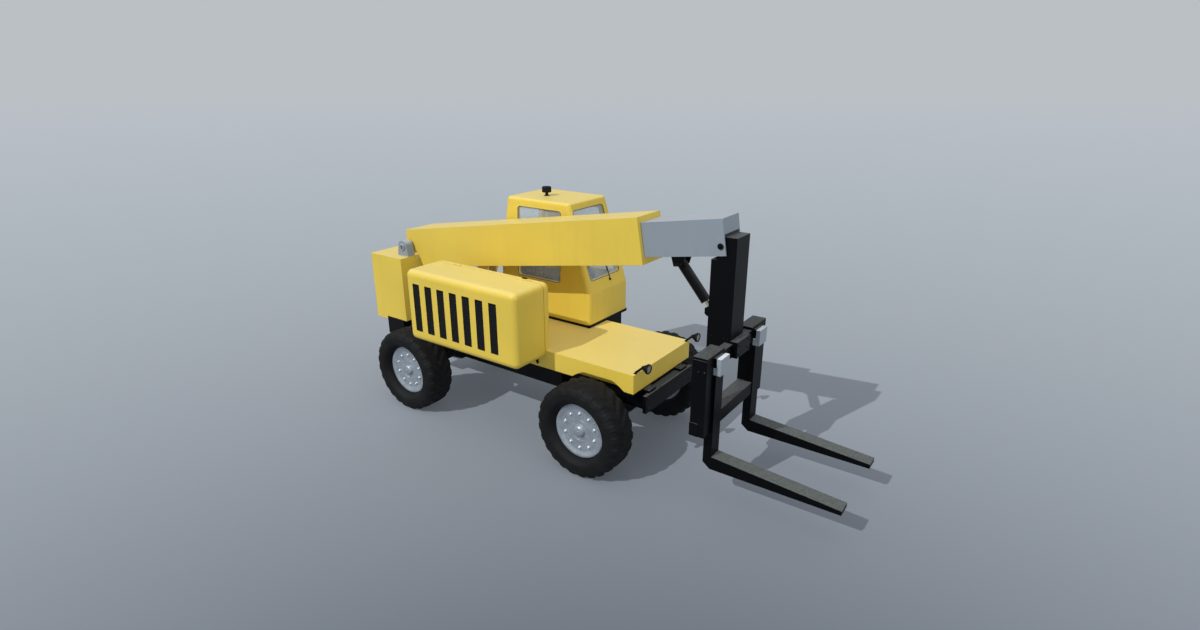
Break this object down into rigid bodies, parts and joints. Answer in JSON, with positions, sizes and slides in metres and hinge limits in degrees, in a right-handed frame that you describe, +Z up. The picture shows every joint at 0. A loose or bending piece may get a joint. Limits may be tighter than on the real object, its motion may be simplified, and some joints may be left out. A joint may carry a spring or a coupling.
{
  "type": "telehandler",
  "caption": "Four-wheel-steer telehandler with a telescopic boom, pallet-fork carriage, side cab and side engine hood; boom lifts and extends, forks tilt.",
  "frame": {"origin": "on the ground, below the centre of the whole machine's bounding box", "axes": "+X forwards, the way the forks point; +Y to the operator's left, the cab side; +Z up"},
  "size_m": [6.186, 2.08, 2.6855],
  "materials": {
    "yellow_paint": "satin",
    "black_paint": "satin",
    "blue_grey_paint": "satin",
    "fork_steel": "satin",
    "bright_steel": "brushed",
    "chromed_rod": "polished",
    "rim_grey": "satin",
    "cast_black": "rough",
    "tyre_rubber": "matte",
    "window_glass": "clear",
    "seat_fabric": "woven",
    "black_plastic": "matte"
  },
  "bodies": {
    "chassis": {"chassis_frame": "black_paint", "lift_cylinder_bracket": "black_paint", "front_crossmember": "black_paint", "front_deck": "yellow_paint", "boom_tower": "yellow_paint", "boom_pivot": "blue_grey_paint", "front_axle": "black_paint", "rear_axle": "black_paint", "hood_frame": "yellow_paint", "engine_block": "black_paint", "cab_platform": "black_paint", "cab_front": "yellow_paint", "cab_rear": "yellow_paint", "cab_right_side": "yellow_paint", "cab_left_side": "yellow_paint", "cab_roof": "yellow_paint", "cab_glazing": "window_glass", "operator_seat": "seat_fabric", "steering_console": "black_plastic", "beacon": "black_plastic", "work_lamps": "black_plastic"},
    "knuckle_body_front_left": {"knuckle_front_left": "cast_black"},
    "wheel_front_left": {"rim_front_left": "rim_grey", "tyre_front_left": "tyre_rubber"},
    "knuckle_body_front_right": {"knuckle_front_right": "cast_black"},
    "wheel_front_right": {"rim_front_right": "rim_grey", "tyre_front_right": "tyre_rubber"},
    "knuckle_body_rear_left": {"knuckle_rear_left": "cast_black"},
    "wheel_rear_left": {"rim_rear_left": "rim_grey", "tyre_rear_left": "tyre_rubber"},
    "knuckle_body_rear_right": {"knuckle_rear_right": "cast_black"},
    "wheel_rear_right": {"rim_rear_right": "rim_grey", "tyre_rear_right": "tyre_rubber"},
    "door": {"cab_door": "yellow_paint", "door_glass": "window_glass"},
    "hood_lid": {"engine_hood": "yellow_paint", "hood_grille": "black_paint"},
    "boom_outer": {"outer_boom": "yellow_paint"},
    "boom_inner": {"inner_boom": "blue_grey_paint", "tilt_cylinder_bracket": "cast_black"},
    "lift_barrel": {"lift_cylinder_barrel": "black_paint"},
    "lift_rod": {"lift_cylinder_rod": "chromed_rod"},
    "tilt_barrel": {"tilt_cylinder_barrel": "black_paint"},
    "tilt_rod": {"tilt_cylinder_rod": "chromed_rod"},
    "fork_frame": {"boom_head": "black_paint", "fork_carriage": "black_paint", "fork_left": "fork_steel", "fork_right": "fork_steel", "fork_hooks": "bright_steel"}
  },
  "joints": [
    {"name": "steer_front_left", "type": "hinge", "parent": "chassis", "child": "knuckle_body_front_left", "pos_m": [0.558, 0.65, 0.505], "axis": [0, 0, 1], "range_deg": [-30, 30]},
    {"name": "roll_front_left", "type": "hinge", "parent": "knuckle_body_front_left", "child": "wheel_front_left", "pos_m": [0.558, 0.802, 0.505], "axis": [0, 1, 0], "continuous": true},
    {"name": "steer_front_right", "type": "hinge", "parent": "chassis", "child": "knuckle_body_front_right", "pos_m": [0.558, -0.65, 0.505], "axis": [0, 0, 1], "range_deg": [-30, 30]},
    {"name": "roll_front_right", "type": "hinge", "parent": "knuckle_body_front_right", "child": "wheel_front_right", "pos_m": [0.558, -0.802, 0.505], "axis": [0, 1, 0], "continuous": true},
    {"name": "steer_rear_left", "type": "hinge", "parent": "chassis", "child": "knuckle_body_rear_left", "pos_m": [-2.042, 0.65, 0.505], "axis": [0, 0, 1], "range_deg": [-30, 30]},
    {"name": "roll_rear_left", "type": "hinge", "parent": "knuckle_body_rear_left", "child": "wheel_rear_left", "pos_m": [-2.042, 0.802, 0.505], "axis": [0, 1, 0], "continuous": true},
    {"name": "steer_rear_right", "type": "hinge", "parent": "chassis", "child": "knuckle_body_rear_right", "pos_m": [-2.042, -0.65, 0.505], "axis": [0, 0, 1], "range_deg": [-30, 30]},
    {"name": "roll_rear_right", "type": "hinge", "parent": "knuckle_body_rear_right", "child": "wheel_rear_right", "pos_m": [-2.042, -0.802, 0.505], "axis": [0, 1, 0], "continuous": true},
    {"name": "door_hinge", "type": "hinge", "parent": "chassis", "child": "door", "pos_m": [-1.147, 1.032, 1.8], "axis": [0, 0, 1], "range_deg": [0, 85]},
    {"name": "hood_hinge", "type": "hinge", "parent": "chassis", "child": "hood_lid", "pos_m": [-0.94, -0.587, 1.865], "axis": [-1, 0, 0], "range_deg": [0, 60]},
    {"name": "boom_lift", "type": "hinge", "parent": "chassis", "child": "boom_outer", "pos_m": [-2.623, 0, 1.845], "axis": [0, -1, 0], "range_deg": [-3, 57]},
    {"name": "boom_extend", "type": "slide", "parent": "boom_outer", "child": "boom_inner", "axis": [0.9869, 0, 0.1613], "range_m": [0, 1.5]},
    {"name": "fork_tilt", "type": "hinge", "parent": "boom_inner", "child": "fork_frame", "pos_m": [1.652, 0, 2.43], "axis": [0, -1, 0], "range_deg": [-6, 28]},
    {"name": "lift_barrel_swing", "type": "hinge", "parent": "chassis", "child": "lift_barrel", "pos_m": [-2.3, 0, 1], "axis": [0, -1, 0], "range_deg": [-1.94, 36.88]},
    {"name": "lift_rod_stroke", "type": "slide", "parent": "lift_barrel", "child": "lift_rod", "axis": [0.7822, 0, 0.6231], "range_m": [-0.03911, 0.74123]},
    {"name": "tilt_barrel_swing", "type": "hinge", "parent": "boom_inner", "child": "tilt_barrel", "pos_m": [1.16, 0, 2.17], "axis": [0, -1, 0], "range_deg": [-4.27, 19.91]},
    {"name": "tilt_rod_stroke", "type": "slide", "parent": "tilt_barrel", "child": "tilt_rod", "axis": [0.6439, 0, -0.7651], "range_m": [-0.05428, 0.25292]}
  ],
  "couplings": [
    {"joint": "steer_front_right", "follows": "steer_front_left", "ratio": 1},
    {"joint": "steer_rear_right", "follows": "steer_rear_left", "ratio": 1},
    {"joint": "lift_barrel_swing", "follows": "boom_lift", "ratio": 0.647},
    {"joint": "lift_rod_stroke", "follows": "boom_lift", "m_per_rad": 0.74498},
    {"joint": "tilt_barrel_swing", "follows": "fork_tilt", "ratio": 0.711},
    {"joint": "tilt_rod_stroke", "follows": "fork_tilt", "m_per_rad": 0.51735}
  ]
}
